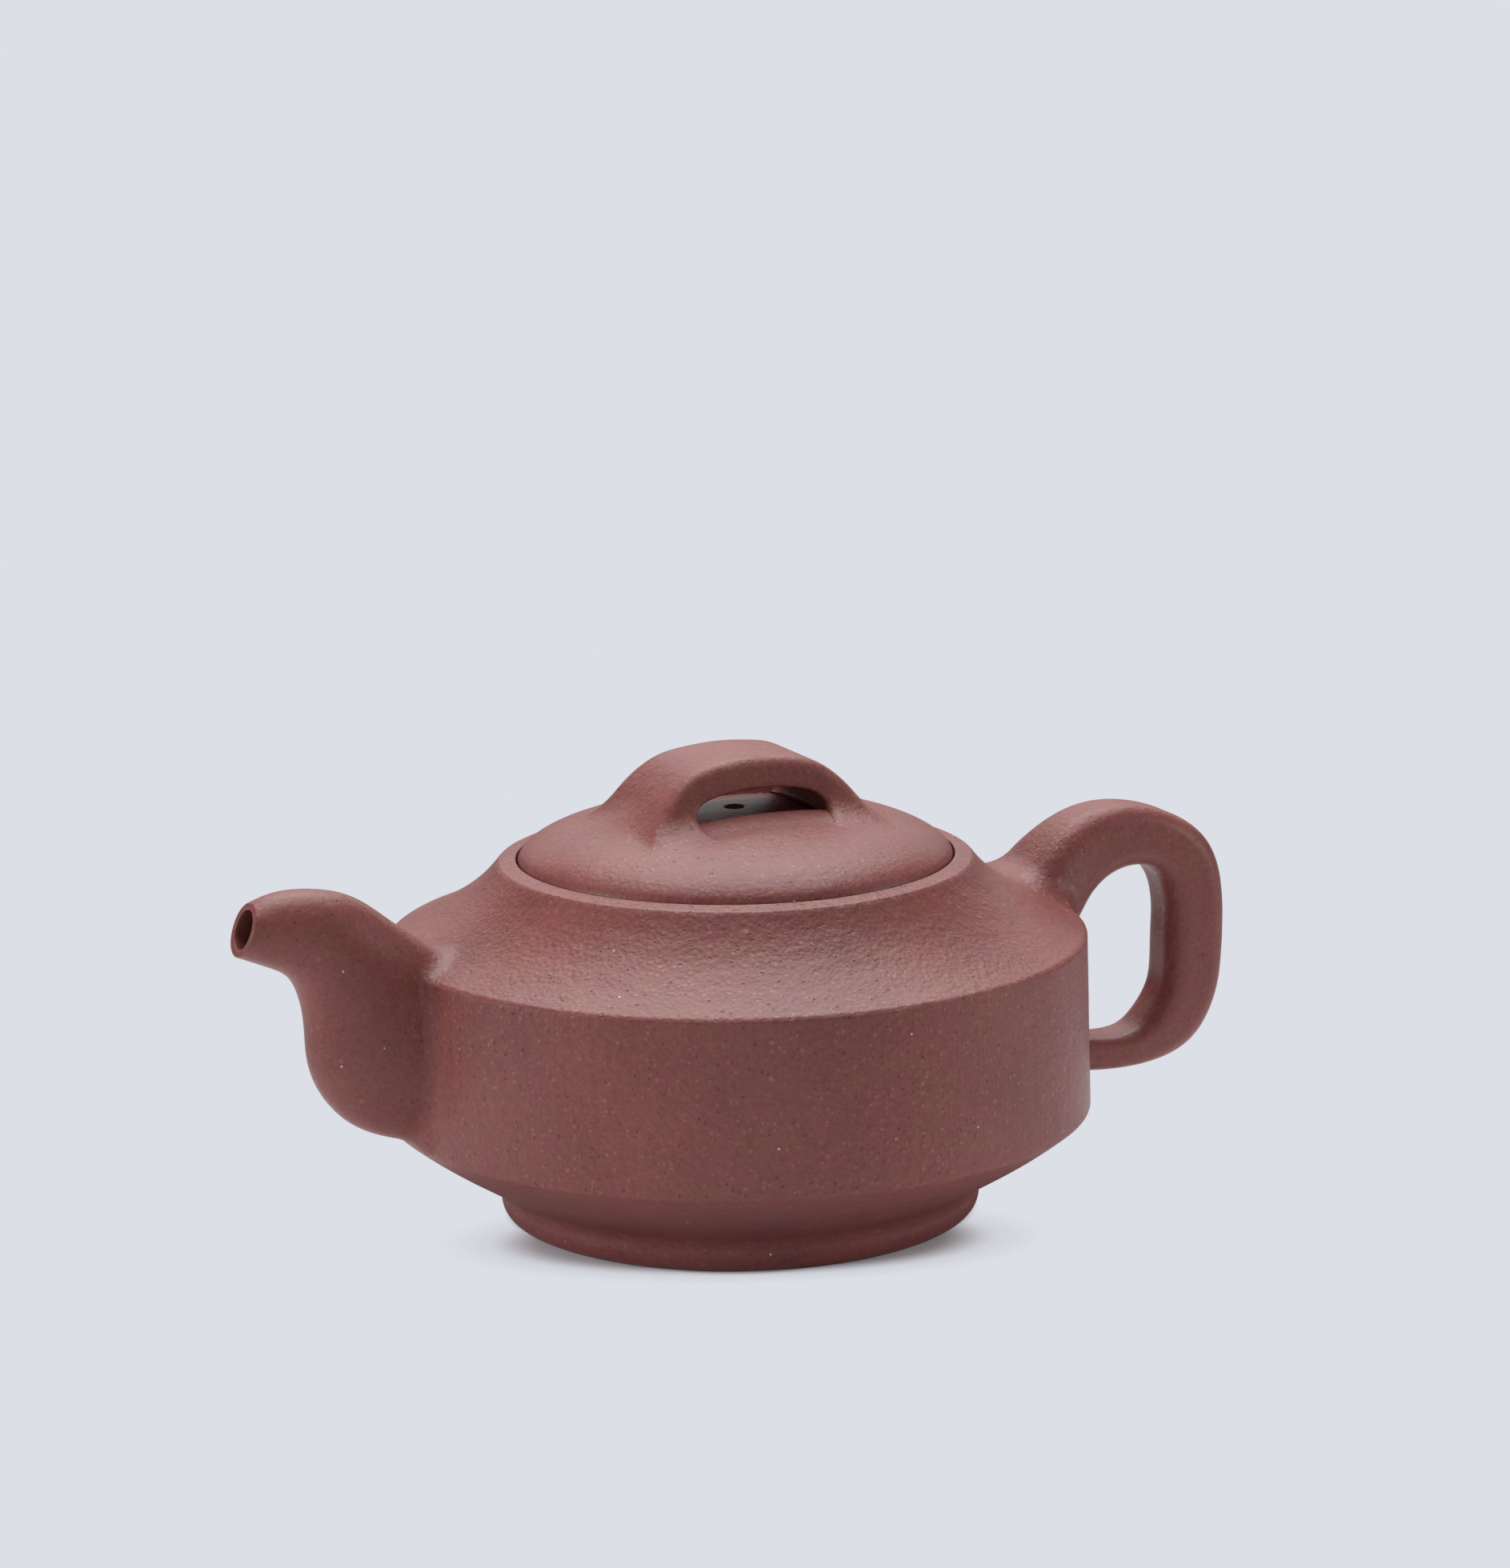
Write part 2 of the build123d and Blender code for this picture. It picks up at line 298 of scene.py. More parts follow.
def clay(name, sand=1.0, drag=0.0, turning=0.0, rippled=0.0, limb_sand=None):
    """Fired purple-brown clay. sand is how coarse the skin is, drag the upright spatula marks,
    turning the rings of the turntable, rippled the low waves left where the slab was pressed
    inward, and limb_sand the coarseness away from the body."""
    finish = bpy.data.materials.new(name)
    finish.use_nodes = True
    tree = finish.node_tree
    tree.nodes.clear()
    make = Value(tree)
    place = make.node("ShaderNodeTexCoord", {}, {}, "Object")
    coarse = sand
    if limb_sand is not None:
        from_axis = place.stretched((1.0, 1.0, 0.0)).length()
        coarse = sand + from_axis.above(body_reach, limb_reach) * (limb_sand - sand)

    def mottle(scale, detail, along=(1.0, 1.0, 1.0), roughness=0.5):
        """A cloudy texture, drawn out in the directions where along is small."""
        return make.node("ShaderNodeTexNoise", {}, {
            "Vector": place.stretched(along), "Scale": scale, "Detail": detail, "Roughness": roughness})

    def grains(scale):
        """How far each place is from the middle of its grain, and a number drawn for that grain."""
        cells = {"Vector": place, "Scale": scale, "Randomness": 1.0}
        gap = make.node("ShaderNodeTexVoronoi", {}, cells, "Distance")
        drawn = make.node("ShaderNodeTexVoronoi", {}, cells, "Color")
        return gap, make.node("ShaderNodeSeparateColor", {}, {0: drawn}, 0)

    grain = mottle(1150.0, 3.0, roughness=0.7)
    gap, lot = grains(1150.0)
    big_gap, big_lot = grains(330.0)

    # The colour: clouds of purple and brown, with pale flecks, ochre lumps, painted shade in the pits and
    # white specks.
    body = make.node("ShaderNodeValToRGB", {"stops": [
        (0.30, (0.212, 0.0600, 0.0605)), (0.50, (0.246, 0.0690, 0.0670)),
        (0.70, (0.277, 0.0790, 0.0715))]}, {"Fac": mottle(45.0, 3.0)})
    body = body.tint(mottle(240.0, 2.0).above(0.35, 0.62) * 0.5, (0.232, 0.0780, 0.0570, 1.0))
    fleck = (1 - gap.above(0.20, 0.42)) * lot.above(0.62, 0.88)
    ochre = (1 - big_gap.above(0.08, 0.17)) * big_lot.above(0.74, 0.80)
    white = (1 - big_gap.above(0.045, 0.075)) * (1 - big_lot.above(0.16, 0.18))
    pit_and_painted_shade = (1 - gap.above(0.16, 0.40)) * (1 - lot.above(0.07, 0.13))
    colour = body.tint(fleck * 0.50 * coarse, (0.38, 0.175, 0.120, 1.0))
    colour = colour.tint(ochre * 0.50, (0.44, 0.180, 0.100, 1.0))
    # Painted shade: each pit is tinted near black where shade would fall in it; the same pits are also real
    # dents in the relief below.
    colour = colour.tint(pit_and_painted_shade * 0.45, (0.055, 0.026, 0.026, 1.0))
    colour = colour.tint(white * 0.85, (0.72, 0.62, 0.55, 1.0))
    shading = grain.node("ShaderNodeMapRange", {}, {
        "Value": grain, "From Min": 0.28, "From Max": 0.72, "To Min": 0.70, "To Max": 1.27})
    colour = colour.tint(0.65, shading, "MULTIPLY")

    # The relief: sand and pits everywhere, and the marks of the tool that shaped this slab.
    height = (grain * 0.75 + (1 - gap) * 0.45 - pit_and_painted_shade * 0.7 + mottle(420.0, 2.0) * 0.9) * coarse
    if drag:
        height = height + mottle(520.0, 2.0, along=(1.0, 1.0, 0.10)) * drag
    if turning:
        height = height + mottle(900.0, 2.0, along=(0.05, 0.05, 1.0)) * turning
    if rippled:
        height = height + mottle(300.0, 3.0, along=(0.45, 0.45, 1.6)) * rippled
    relief = make.node("ShaderNodeBump", {}, {"Strength": 1.0, "Distance": 0.00016, "Height": height})

    shader = make.node("ShaderNodeBsdfPrincipled", {}, {
        "Base Color": colour, "Roughness": 0.44 + (grain - 0.5) * 0.25 - fleck * 0.08,
        "IOR": 1.42, "Normal": relief})
    make.node("ShaderNodeOutputMaterial", {}, {"Surface": shader})
    return finish


clay_turned = clay("clay_turned", sand=0.6, turning=0.5)
clay_wall = clay("clay_wall", sand=1.0, drag=0.9)
clay_shoulder = clay("clay_shoulder", sand=0.85, rippled=1.0)

floor_slab = [(0, floor_top), (0, foot_height), (foot_inner_radius, foot_height)]
foot_bore = softened(
    [(foot_inner_radius, foot_height), (foot_inner_radius, 0), (foot_rest_radius, 0)],
    [((foot_inner_radius, 0), 0.5)])[:-1]
mouth_bore = [mouth, (mouth[0], seat_height)]
mouth_outside = softened(between(outside, seat_height, mouth[1]) + mouth_bore[1:], [(mouth, 0.3)])
slices = {
    "foot_ring": (spaced(between(outside, 0, foot_height) + foot_bore, 1.4), clay_turned),
    "base": (spaced(between(outside, foot_height, wall_foot[1])
                    + between(inside, floor_top, wall_foot[1])[::-1] + floor_slab, 1.6), clay_turned),
    "body_wall": (spaced(between(outside, wall_foot[1], wall_top[1])
                         + between(inside, wall_foot[1], wall_top[1])[::-1], 1.2), clay_wall),
    "shoulder": (spaced(between(outside, wall_top[1], seat_height)
                        + between(inside, wall_top[1], seat_height)[::-1], 1.4), clay_shoulder),
    "mouth_ring": (spaced(mouth_outside, 1.2), clay_shoulder),
}
for name, (outline, finish) in slices.items():
    slab = moulded(f"{name}_clay", *turned(outline), finish, "pot", name)
    if name == "body_wall":
        wall_slab = slab

# The round window through the wall that lets the tea into the spout.
window_radius = 8.5
window_height = 31.5
window_sides = 64
cutter_ends = (-48, -62)
cutter_mesh = bpy.data.meshes.new("window_cutter")
cutter_verts, cutter_faces = [], []
for n in range(window_sides):
    angle = 2 * math.pi * n / window_sides
    for reach in cutter_ends:
        cutter_verts.append((reach * MM, window_radius * math.cos(angle) * MM,
                             (window_height + window_radius * math.sin(angle)) * MM))
    m = (n + 1) % window_sides
    cutter_faces.append((2 * n, 2 * n + 1, 2 * m + 1, 2 * m))
cutter_faces += [tuple(range(2 * window_sides - 2, -1, -2)), tuple(range(1, 2 * window_sides, 2))]
cutter_mesh.from_pydata(cutter_verts, [], cutter_faces)
cutter = bpy.data.objects.new("window_cutter", cutter_mesh)
bpy.context.scene.collection.objects.link(cutter)
window = wall_slab.modifiers.new("window", "BOOLEAN")
window.operation = "DIFFERENCE"
window.solver = "EXACT"
window.object = cutter
bpy.context.view_layer.update()
pierced = bpy.data.meshes.new_from_object(wall_slab.evaluated_get(bpy.context.evaluated_depsgraph_get()))
wall_slab.modifiers.clear()
wall_slab.data = pierced
bpy.data.objects.remove(cutter)

# ---------------------------------------------------------------------------------------------
# The spout: thrown off the hump, bent once while soft, pierced and trimmed at a slant.
# It is luted over the window in the wall and the joint is wiped out to a soft hollow.
# Each oval spans a point of its under side and a point of its upper side: how far out from the
# wall's top it lies, and its height.
spout_bands = [
    ((28.8, 51.5), (25.7, 59.6), 4.3),
    ((23.9, 49.4), (21.5, 60.8), 5.2),
    ((20.4, 47.4), (15.9, 60.7), 5.8),
    ((18.4, 43.8), (9.7, 59.0), 6.3),
    ((17.5, 38.6), (3.7, 54.8), 6.8),
    ((16.9, 31.8), (-2.3, 50.2), 7.5),
    ((13.7, 25.6), (-7.3, 45.6), 8.2),
    ((7.3, 20.8), (-11.3, 39.0), 8.6),
    ((-1.9, 18.2), (-11.9, 33.0), 8.6),
]
spout_bore_radius = 3.1
spout_root_wall = 3.0
spout_root_reach = 3.2
spout_root_spread = 3.0
mouth_rounding = 0.3
rim_steps = 8
ROUND = 96


def flowing(stations, count):
    """Stations joined by a smooth natural spline, spaced by the distance between them."""
    table = np.array(stations, float)
    knots = np.concatenate([[0], np.cumsum(np.linalg.norm(np.diff(table, axis=0), axis=1))])
    gaps = np.diff(knots)
    last = len(knots) - 1
    system = np.zeros((last + 1, last + 1))
    right = np.zeros_like(table)
    system[0, 0] = system[last, last] = 1
    for n in range(1, last):
        system[n, n - 1:n + 2] = gaps[n - 1], 2 * (gaps[n - 1] + gaps[n]), gaps[n]
        right[n] = 6 * ((table[n + 1] - table[n]) / gaps[n] - (table[n] - table[n - 1]) / gaps[n - 1])
    curve = np.linalg.solve(system, right)
    rows = []
    for at in np.linspace(0, knots[last], count):
        n = min(int(np.searchsorted(knots, at, side="right")) - 1, last - 1)
        a, b, h = knots[n + 1] - at, at - knots[n], gaps[n]
        rows.append(curve[n] * a ** 3 / (6 * h) + curve[n + 1] * b ** 3 / (6 * h)
                    + (table[n] / h - curve[n] * h / 6) * a + (table[n + 1] / h - curve[n + 1] * h / 6) * b)
    return np.array(rows)


def nearest(skin, point):
    """Nearest point of a turned skin to a point, the skin's outward normal and the height above it."""
    radius = math.hypot(point[0], point[1])
    starts, ends = skin[:-1], skin[1:]
    runs = ends - starts
    at = np.array([radius, point[2]])
    along = np.clip(((at - starts) * runs).sum(1) / (runs ** 2).sum(1), 0, 1)
    feet = starts + runs * along[:, None]
    gaps = np.linalg.norm(feet - at, axis=1)
    n = int(gaps.argmin())
    normal = np.array([runs[n][1], -runs[n][0]]) / np.linalg.norm(runs[n])
    out = np.array([point[0], point[1]]) / max(radius, 1e-9)
    sign = 1 if (at - feet[n]) @ normal >= 0 else -1
    foot = np.array([out[0] * feet[n][0], out[1] * feet[n][0], feet[n][1]])
    return foot, np.array([out[0] * normal[0], out[1] * normal[0], normal[1]]), sign * gaps[n]


def unit(vector):
    """The vector's direction, one long."""
    return vector / max(np.linalg.norm(vector), 1e-12)


def luted(columns, skin, reach, spread, steps=12):
    """Each column of a limb cut off short of the skin and led onto it by a wiped fillet of slip.
    reach is how far up the limb the fillet starts and spread how far over the skin it ends."""
    ended = []
    fillets = []
    rows = columns.shape[1]
    for n, column in enumerate(columns):
        heights = [nearest(skin, point)[2] for point in column]
        at = next(k for k in range(rows - 1) if heights[k] > 0 >= heights[k + 1])
        part = heights[at] / (heights[at] - heights[at + 1])
        meet = column[at] + (column[at + 1] - column[at]) * part
        middle = columns[:, at].mean(0) * (1 - part) + columns[:, at + 1].mean(0) * part
        walked = np.concatenate([[0], np.cumsum(np.linalg.norm(np.diff(column, axis=0), axis=1))])
        stop = walked[at] + part * (walked[at + 1] - walked[at]) - reach[n]
        k = int(np.searchsorted(walked, stop, side="right")) - 1
        start = column[k] + (column[k + 1] - column[k]) * (stop - walked[k]) / (walked[k + 1] - walked[k])
        heading = unit(column[k + 1] - column[k])
        normal = nearest(skin, meet)[1]
        away = unit((meet - middle) - normal * ((meet - middle) @ normal))
        foot, foot_normal, _ = nearest(skin, meet + away * spread[n])
        back = (meet - foot) - foot_normal * ((meet - foot) @ foot_normal)
        pull, push = 0.62 * np.linalg.norm(meet - start), 0.62 * np.linalg.norm(back)
        corners = (start, start + heading * pull, foot + unit(back) * push, foot)
        fillet = []
        for s in np.linspace(0, 1, steps + 1):
            weights = ((1 - s) ** 3, 3 * s * (1 - s) ** 2, 3 * s * s * (1 - s), s ** 3)
            fillet.append(sum(w * p for w, p in zip(weights, corners)))
        tuck = nearest(skin, foot - unit(back) * 0.5)
        fillet.append(tuck[0] - tuck[1] * 0.12)
        fillets.append(fillet)
        ended.append(np.vstack([column[:k + 1], start]))
    return ended, np.array(fillets)


def evened(line, count):
    """A column's points spaced evenly along it."""
    line = np.asarray(line)
    walked = np.concatenate([[0], np.cumsum(np.linalg.norm(np.diff(line, axis=0), axis=1))])
    return np.array([[np.interp(s, walked, line[:, axis]) for axis in range(3)]
                     for s in np.linspace(0, walked[-1], count)])


def ring_columns(rows, outline_of, count):
    """The columns of a limb: the same corner of every cross section, from first to last.
    A row holds two spanning points (x, z, x, z) and then what outline_of needs."""
    sections = []
    for x1, z1, x2, z2, *more in rows:
        first, second = np.array([x1, 0, z1]), np.array([x2, 0, z2])
        rise = unit(second - first)
        half = np.linalg.norm(second - first) / 2
        sections.append([(first + second) / 2 + rise * v + np.array([0, u, 0])
                         for u, v in outline_of(half, *more, count)])
    return np.array(sections).transpose(1, 0, 2)


def oval(half_height, half_width, count):
    """An oval's points, starting at its upper side."""
    return [(half_width * math.sin(2 * math.pi * n / count), half_height * math.cos(2 * math.pi * n / count))
            for n in range(count)]


def tube_faces(columns, rows):
    """Faces of a tube whose corners run column by column."""
    faces = []
    for c in range(columns):
        d = (c + 1) % columns
        for r in range(rows - 1):
            faces.append((c * rows + r, c * rows + r + 1, d * rows + r + 1, d * rows + r))
    return faces


body_skin = np.array(outside)
spout_stations = [(-wall_top[0] - u[0], u[1], -wall_top[0] - v[0], v[1], w) for u, v, w in spout_bands]
spout_rows = flowing(spout_stations, count=220)
throat_rows = slice(1, 190, 3)  # the bore ends inside the wall, short of the last rows
spout_skin = ring_columns(spout_rows, oval, ROUND)
spout_lip = spout_bands[0][2] - spout_bore_radius
shares = np.linspace(0, 1, len(spout_rows))
bore_rows = []
for row, s in zip(spout_rows, shares):
    first, second = np.array(row[:2]), np.array(row[2:4])
    thick = spout_lip + (spout_root_wall - spout_lip) * s
    inward = unit(second - first) * thick
    bore_rows.append((*(first + inward), *(second - inward), row[4] - thick))
bore = ring_columns(bore_rows, oval, ROUND)
cut, fillet = luted(spout_skin, body_skin, [spout_root_reach] * ROUND, [spout_root_spread] * ROUND)
mouth_out = unit(spout_skin[:, 0].mean(0) - spout_skin[:, 3].mean(0))
columns = []
for c in range(ROUND):
    outer, inner = spout_skin[c, 1], bore[c, 1]
    rim = []
    for n in range(1, rim_steps):
        angle = math.pi * n / rim_steps
        rim.append((outer + inner) / 2 + (outer - inner) / 2 * math.cos(angle)
                   + mouth_out * mouth_rounding * math.sin(angle))
    throat = bore[c][throat_rows]
    columns.append(np.vstack([throat[::-1], rim[::-1], evened(cut[c][1:], count=90), fillet[c][1:]]))
columns = np.array(columns)
rows = columns.shape[1]
faces = tube_faces(ROUND, rows)
faces += [(c * rows, ((c + 1) % ROUND) * rows, ((c + 1) % ROUND) * rows + rows - 1, c * rows + rows - 1)
          for c in range(ROUND)]
clay_limb = clay("clay_limb", sand=0.8, limb_sand=0.45)
moulded("spout_clay", columns.reshape(-1, 3), faces, clay_limb, "pot", "spout")

# ---------------------------------------------------------------------------------------------
# The ball strainer: a small pierced cap of the same clay, pressed over a ball and luted over the
# window inside the wall. It keeps its own shape and takes only its clay here.
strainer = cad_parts["strainer"]
strainer.data.materials.clear()
strainer.data.materials.append(clay("clay_strainer", sand=0.6))

# ---------------------------------------------------------------------------------------------
# The ear handle: a rolled and flattened band, broad where it springs from the shoulder and slim
# where its tail meets the foot of the wall. Each band spans an outer and an inner point.
handle_bands = [
    ((-8.9, 47.0), (-0.9, 37.0), 17.5),
    ((-3.8, 53.0), (3.7, 43.0), 15.4),
    ((1.6, 57.2), (6.1, 45.6), 13.2),
    ((7.5, 59.4), (9.1, 47.8), 11.8),
    ((14.2, 59.4), (13.3, 49.2), 10.8),
    ((22.0, 57.0), (17.5, 48.6), 10.6),
    ((28.5, 51.7), (19.7, 45.6), 10.6),
    ((31.0, 43.0), (20.6, 40.6), 10.6),
    ((30.9, 34.0), (20.4, 34.6), 10.6),
    ((29.5, 25.6), (19.9, 28.4), 10.4),
    ((25.1, 18.7), (17.5, 24.4), 10.0),
    ((18.5, 16.0), (14.7, 21.7), 9.4),
    ((11.5, 15.4), (10.5, 20.9), 9.0),
    ((4.7, 15.8), (4.7, 21.3), 9.0),
    ((-1.9, 16.6), (-1.9, 22.1), 9.0),
]
handle_corner_share = 0.33
corner_steps = 16


def band(half_thickness, width, outer_corner, inner_corner, flare, count):
    """A flattened band's points, starting at the middle of its outer side, evenly spaced.
    flare is how much wider the band is at its inner side."""
    half = width / 2
    line = []
    for side, corner in ((1, outer_corner), (-1, inner_corner)):
        corner = min(corner, half_thickness * 0.98, half * 0.98)
        quarter = []
        for n in range(corner_steps + 1):
            angle = math.pi / 2 * n / corner_steps
            quarter.append((half - corner + corner * math.sin(angle),
                            side * (half_thickness - corner + corner * math.cos(angle))))
        line.append(quarter)
    right_side = [(0, half_thickness)] + line[0] + line[1][::-1] + [(0, -half_thickness)]
    loop = right_side + [(-u, v) for u, v in right_side[-2:0:-1]] + [right_side[0]]
    loop = np.array([(u * (1 + flare * (1 - v / half_thickness) / 2), v, 0) for u, v in loop])
    return [(u, v) for u, v, _ in evened(loop, count + 1)[:-1]]


def strap(rows, skin, first_fillet, last_fillet, sides, length):
    """A closed strap luted at both ends, with this many columns of faces round it and rows along it.
    Each fillet is a function of the column's side, -1 inner to 1 outer, that gives its reach and
    spread."""
    grid = ring_columns(rows, band, sides)
    facing = [math.cos(2 * math.pi * c / sides) for c in range(sides)]
    tail_cut, tail = luted(grid, skin, *zip(*[last_fillet(side) for side in facing]))
    head_cut, head = luted(grid[:, ::-1], skin, *zip(*[first_fillet(side) for side in facing]))
    columns = []
    for c in range(sides):
        end, start = tail_cut[c][-1], head_cut[c][-1]
        middle = grid[c][len(grid[c]) - len(head_cut[c]) + 1:len(tail_cut[c]) - 1]
        line = evened(np.vstack([start, middle, end]), length)
        columns.append(np.vstack([head[c][::-1][:-1], line, tail[c][1:]]))
    columns = np.array(columns)
    rows = columns.shape[1]
    verts = [tuple(p) for p in columns.reshape(-1, 3)]
    faces = tube_faces(sides, rows)
    for r in (0, rows - 1):
        ring = [c * rows + r for c in range(sides)]
        hub = len(verts)
        verts.append(tuple(columns[:, r].mean(0)))
        for a, b in zip(ring, ring[1:] + ring[:1]):
            faces.append((hub, a, b) if r else (hub, b, a))
    return verts, faces


def handle_root(side):
    """A wide hollow of slip over the shoulder, and a narrower one inside the loop."""
    return 4.0 + 1.5 * side, 4.5 + 2.0 * side


def handle_tail(side):
    """A small even fillet, for the tail is only pinched on."""
    return 1.0, 0.9


handle_stations = []
for outer, inner, width in handle_bands:
    corner = handle_corner_share * math.dist(outer, inner)
    handle_stations.append((wall_top[0] + inner[0], inner[1], wall_top[0] + outer[0], outer[1],
                            width, corner, corner, 0))
handle_rows = flowing(handle_stations, count=300)
moulded("handle_clay", *strap(handle_rows, body_skin, handle_root, handle_tail, sides=ROUND, length=170),
        clay_limb, "pot", "handle")

# ---------------------------------------------------------------------------------------------
# The lid: a domed slab with an air vent through its crown and a deep flange luted under it.
# It sits down in the mouth on the ledge, with a hair's gap all round.
lid_radius = 34.6
lid_edge_top = 58.4
lid_crown = 66.6
lid_hollow_crown = 63.4
flange_outer, flange_inner, flange_foot = 30.9, 28.5, 48.5
flange_top = seat_height - 0.02
vent_radius, vent_mouth_radius, vent_depth = 1.1, 1.8, 0.9


def dome(edge, crown):
    """The low curve from an edge up to the crown on the axis."""
    return bend(edge, share(edge, (0, crown), 0.047, 0.53), share(edge, (0, crown), 0.48, 1), (0, crown), 60)


def beyond(path, radius):
    """The stretch of a dome outside a radius, ending exactly on it."""
    kept = [p for p in path if p[0] > radius]
    start, end = kept[-1], path[len(kept)]
    part = (start[0] - radius) / (start[0] - end[0])
    return kept + [share(start, end, part, part)]


lid_dome = beyond(dome((lid_radius, lid_edge_top), lid_crown), vent_mouth_radius)
lid_hollow = beyond(dome((flange_inner, seat_height), lid_hollow_crown), vent_radius)
vent_throat = (vent_radius, lid_crown - vent_depth)
lid_outline = softened(
    [(lid_radius, seat_height), (lid_radius, lid_edge_top)] + lid_dome[1:]
    + [vent_throat] + lid_hollow[::-1],
    [((lid_radius, lid_edge_top), 0.5), (lid_dome[-1], 0.3)])
clay_lid = clay("clay_lid", sand=0.65, rippled=0.5)

# The lid swells into a low lip before each mouth of the knob's slot, and the slot's floor is scooped.
lip_rise, lip_half_length, lip_width, lip_fall, lip_edge = 0.75, 11.0, 9.9, 5.5, 0.5
slot_scoop = 0.45
top_face_height = lid_hollow_crown + 0.3
lid_verts, lid_faces = turned(spaced(lid_outline, 0.4))
for n, (x, y, z) in enumerate(lid_verts):
    past = math.hypot(max(abs(x) - lip_half_length, 0), max(abs(y) - lip_width, 0)) / lip_fall
    if z > top_face_height and past < 1 and math.hypot(x, y) > vent_radius + 0.01:
        inside_slot = min(1, max(0, (lip_width - abs(y)) / lip_edge))
        rise = lip_rise * (1 - past * past * (3 - 2 * past))
        lid_verts[n] = (x, y, z + rise * (1 - inside_slot) - slot_scoop * inside_slot)
moulded("lid_disc_clay", lid_verts, lid_faces, clay_lid, "lid", "lid_disc")
flange_outline = softened(
    [(flange_outer, flange_top), (flange_inner, flange_top), (flange_inner, flange_foot),
     (flange_outer, flange_foot), (flange_outer, flange_top)],
    [((flange_inner, flange_foot), 0.7), ((flange_outer, flange_foot), 0.7)])[:-1]
moulded("lid_flange_clay", *turned(flange_outline), clay_lid, "lid_carrier", "lid_flange")

# ---------------------------------------------------------------------------------------------
# The bridge knob: a broad band of the lid's clay, bent over a finger slot. Both feet are luted to
# the dome and wiped out wide onto it.
knob_half_bands = [
    # outer side, inner side, width, flare
    ((0.0, 75.55), (0.0, 70.7), 16.2, 0.15),
    ((5.2, 75.2), (4.4, 70.5), 16.4, 0.15),
    ((9.6, 74.3), (7.8, 69.9), 17.1, 0.13),
    ((13.0, 72.4), (10.2, 68.9), 18.2, 0.10),
    ((15.9, 69.6), (11.4, 67.2), 19.8, 0.08),
    ((18.4, 66.0), (11.6, 65.2), 21.6, 0.03),
    ((20.0, 62.4), (11.6, 62.6), 22.8, 0.0),
]
knob_outer_corner, knob_inner_corner = 1.6, 0.7
knob_bands = [((-o[0], o[1]), (-i[0], i[1]), w, f) for o, i, w, f in knob_half_bands[:0:-1]]
knob_bands += knob_half_bands
knob_stations = [(*i, *o, w, knob_outer_corner, knob_inner_corner, f) for o, i, w, f in knob_bands]
knob_rows = flowing(knob_stations, count=240)
lid_skin = np.array([(lid_radius, seat_height)] + dome((lid_radius, lid_edge_top), lid_crown))
lid_skin = lid_skin[lid_skin[:, 0] > 0.01]


def knob_foot(side):
    """A wide hollow outside and along the sides, and a small one inside the slot."""
    wide = min(1, max(0, (side + 0.75) / 0.5))
    return 0.7 + 4.3 * wide, 0.7 + 5.3 * wide


moulded("knob_clay", *strap(knob_rows, lid_skin, knob_foot, knob_foot, sides=120, length=110),
        clay_lid, "lid", "knob")

# ---------------------------------------------------------------------------------------------
# The studio: a pale table that fades into a pale wall, broad lights overhead and one light on each
# side. The camera looks down a little at the side of the pot, with the spout to the left.
PALE = (0.7157, 0.7379, 0.7913, 1.0)
heading = math.radians(-24.5)
to_right = Vector((math.cos(heading), math.sin(heading), 0))
to_camera = Vector((math.sin(heading), -math.cos(heading), 0))

# The camera sees the lit table only in the pool of shadow round the foot. The pool is an oval a little
# towards the camera; outside it, the table shows as flat as the wall. The table's edge is darker cloth.
pool_half_width, pool_half_depth, pool_ahead = 0.037, 0.0185, 0.0179
pale_cloth, dark_cloth = (0.90, 0.92, 0.95, 1.0), (0.40, 0.41, 0.43, 1.0)
table_half_width = 1.6
table = bpy.data.materials.new("table")
table.use_nodes = True
tree = table.node_tree
tree.nodes.clear()
make = Value(tree)
place = make.node("ShaderNodeTexCoord", {}, {}, "Object")
spread = place.length()
aside = place.along(to_right) / pool_half_width
ahead = (place.along(to_camera) - pool_ahead) / pool_half_depth
pool_reach = (aside * aside + ahead * ahead) ** 0.5
pool = 1 - pool_reach.above(0.84, 1.10) * 0.8 - pool_reach.above(1.0, 1.36) * 0.2
shown = pool.math("MAXIMUM", pool, 1 - spread.above(0.0350, 0.0385))
near_cloth = make.node("ShaderNodeBsdfDiffuse", {}, {"Color": pale_cloth})
far_cloth = make.node("ShaderNodeBsdfDiffuse", {}, {"Color": dark_cloth})
far = spread.math("DIVIDE", spread - 0.10, 0.12, clamp=True)
lit = make.node("ShaderNodeMixShader", {}, {0: far, 1: near_cloth, 2: far_cloth})
flat = make.node("ShaderNodeEmission", {}, {"Color": PALE, "Strength": 1.0})
seen = make.node("ShaderNodeLightPath", {}, {}, "Is Camera Ray")
faded = make.node("ShaderNodeMixShader", {}, {0: seen * (1 - shown * 0.9), 1: lit, 2: flat})
make.node("ShaderNodeOutputMaterial", {}, {"Surface": faded})
mesh = bpy.data.meshes.new("table_top")
corners = [(x * table_half_width, y * table_half_width, 0) for x, y in ((-1, -1), (1, -1), (1, 1), (-1, 1))]
mesh.from_pydata(corners, [], [(0, 1, 2, 3)])
mesh.materials.append(table)
table_top = bpy.data.objects.new("table_top", mesh)
bpy.context.scene.collection.objects.link(table_top)

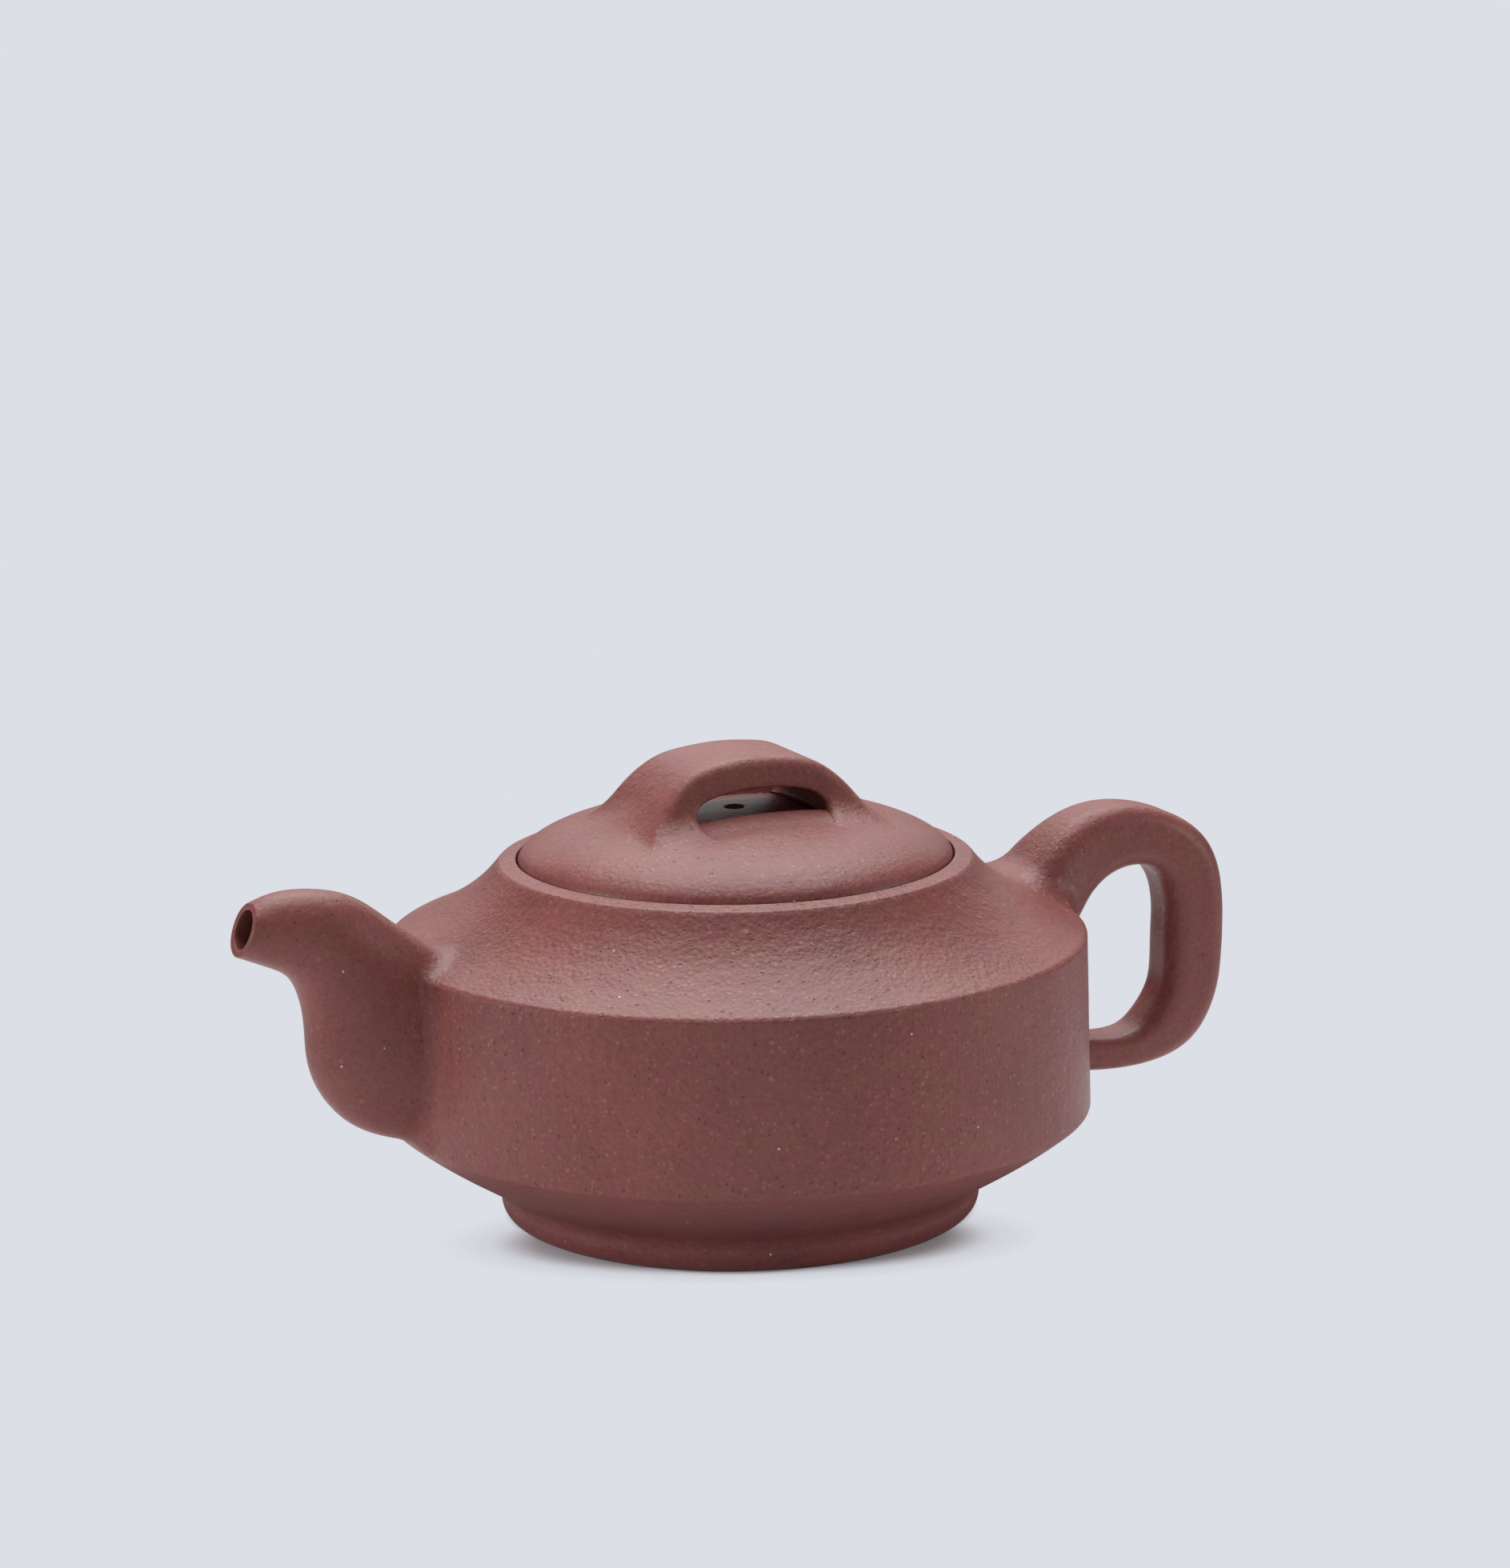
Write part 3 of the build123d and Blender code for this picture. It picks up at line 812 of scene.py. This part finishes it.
world = bpy.data.worlds.new("studio")
bpy.context.scene.world = world
world.use_nodes = True
tree = world.node_tree
tree.nodes.clear()
make = Value(tree)
seen = make.node("ShaderNodeLightPath", {}, {}, "Is Camera Ray")
room = make.node("ShaderNodeBackground", {}, {"Color": (0.93, 0.95, 1.0, 1.0), "Strength": 0.04})
wall = make.node("ShaderNodeBackground", {}, {"Color": PALE, "Strength": 1.0})
both = make.node("ShaderNodeMixShader", {}, {0: seen, 1: room, 2: wall})
make.node("ShaderNodeOutputWorld", {}, {"Surface": both})


pot_middle = Vector((0, 0, 0.035))


def softbox(name, right, near, height, width, depth, power):
    """A broad light aimed at the pot's middle, placed to the camera's right and towards the camera."""
    light = bpy.data.lights.new(name, "AREA")
    light.shape = "RECTANGLE"
    light.size, light.size_y = width, depth
    light.energy = power
    lamp = bpy.data.objects.new(name, light)
    lamp.location = to_right * right + to_camera * near + Vector((0, 0, height))
    aim = pot_middle - lamp.location
    lamp.rotation_mode = "QUATERNION"
    lamp.rotation_quaternion = aim.to_track_quat("-Z", "Y")
    bpy.context.scene.collection.objects.link(lamp)


softbox("overhead", 0.0, -0.20, 1.10, 1.0, 0.4, 7.9)
softbox("overhead_front", 0.0, 0.25, 1.08, 1.0, 0.4, 0.8)
softbox("overhead_back", 0.0, -0.65, 0.90, 0.9, 0.4, 6.7)
softbox("behind", 0.0, -1.05, 0.45, 1.6, 0.4, 2.6)
softbox("in_front", 0.0, 1.10, 0.16, 1.2, 0.3, 1.6)
softbox("left", -1.07, 0.29, 0.33, 0.3, 0.5, 4.6)
softbox("right", 1.12, 0.10, 0.29, 0.3, 0.5, 2.7)

# The camera's place and three angles in degrees, before it is turned to its heading. The tilt is counted
# from looking straight down; the camera also leans a little and is swung a little off the pot's axis.
stand_point = Vector((0, -0.92158, 0.27063))
tilt, lean, swing = 77.699, 0.830, -0.386
view = bpy.data.cameras.new("view")
view.sensor_width = 36
view.lens = 7435 / 1960 * 36
view.clip_start, view.clip_end = 0.05, 20
camera = bpy.data.objects.new("view", view)
turn = Matrix.Rotation(heading, 4, "Z")
gaze = Euler([math.radians(angle) for angle in (tilt, lean, swing)]).to_matrix().to_4x4()
camera.matrix_world = turn @ Matrix.Translation(stand_point) @ gaze
bpy.context.scene.collection.objects.link(camera)
bpy.context.scene.camera = camera
bpy.context.scene.view_settings.view_transform = "Standard"
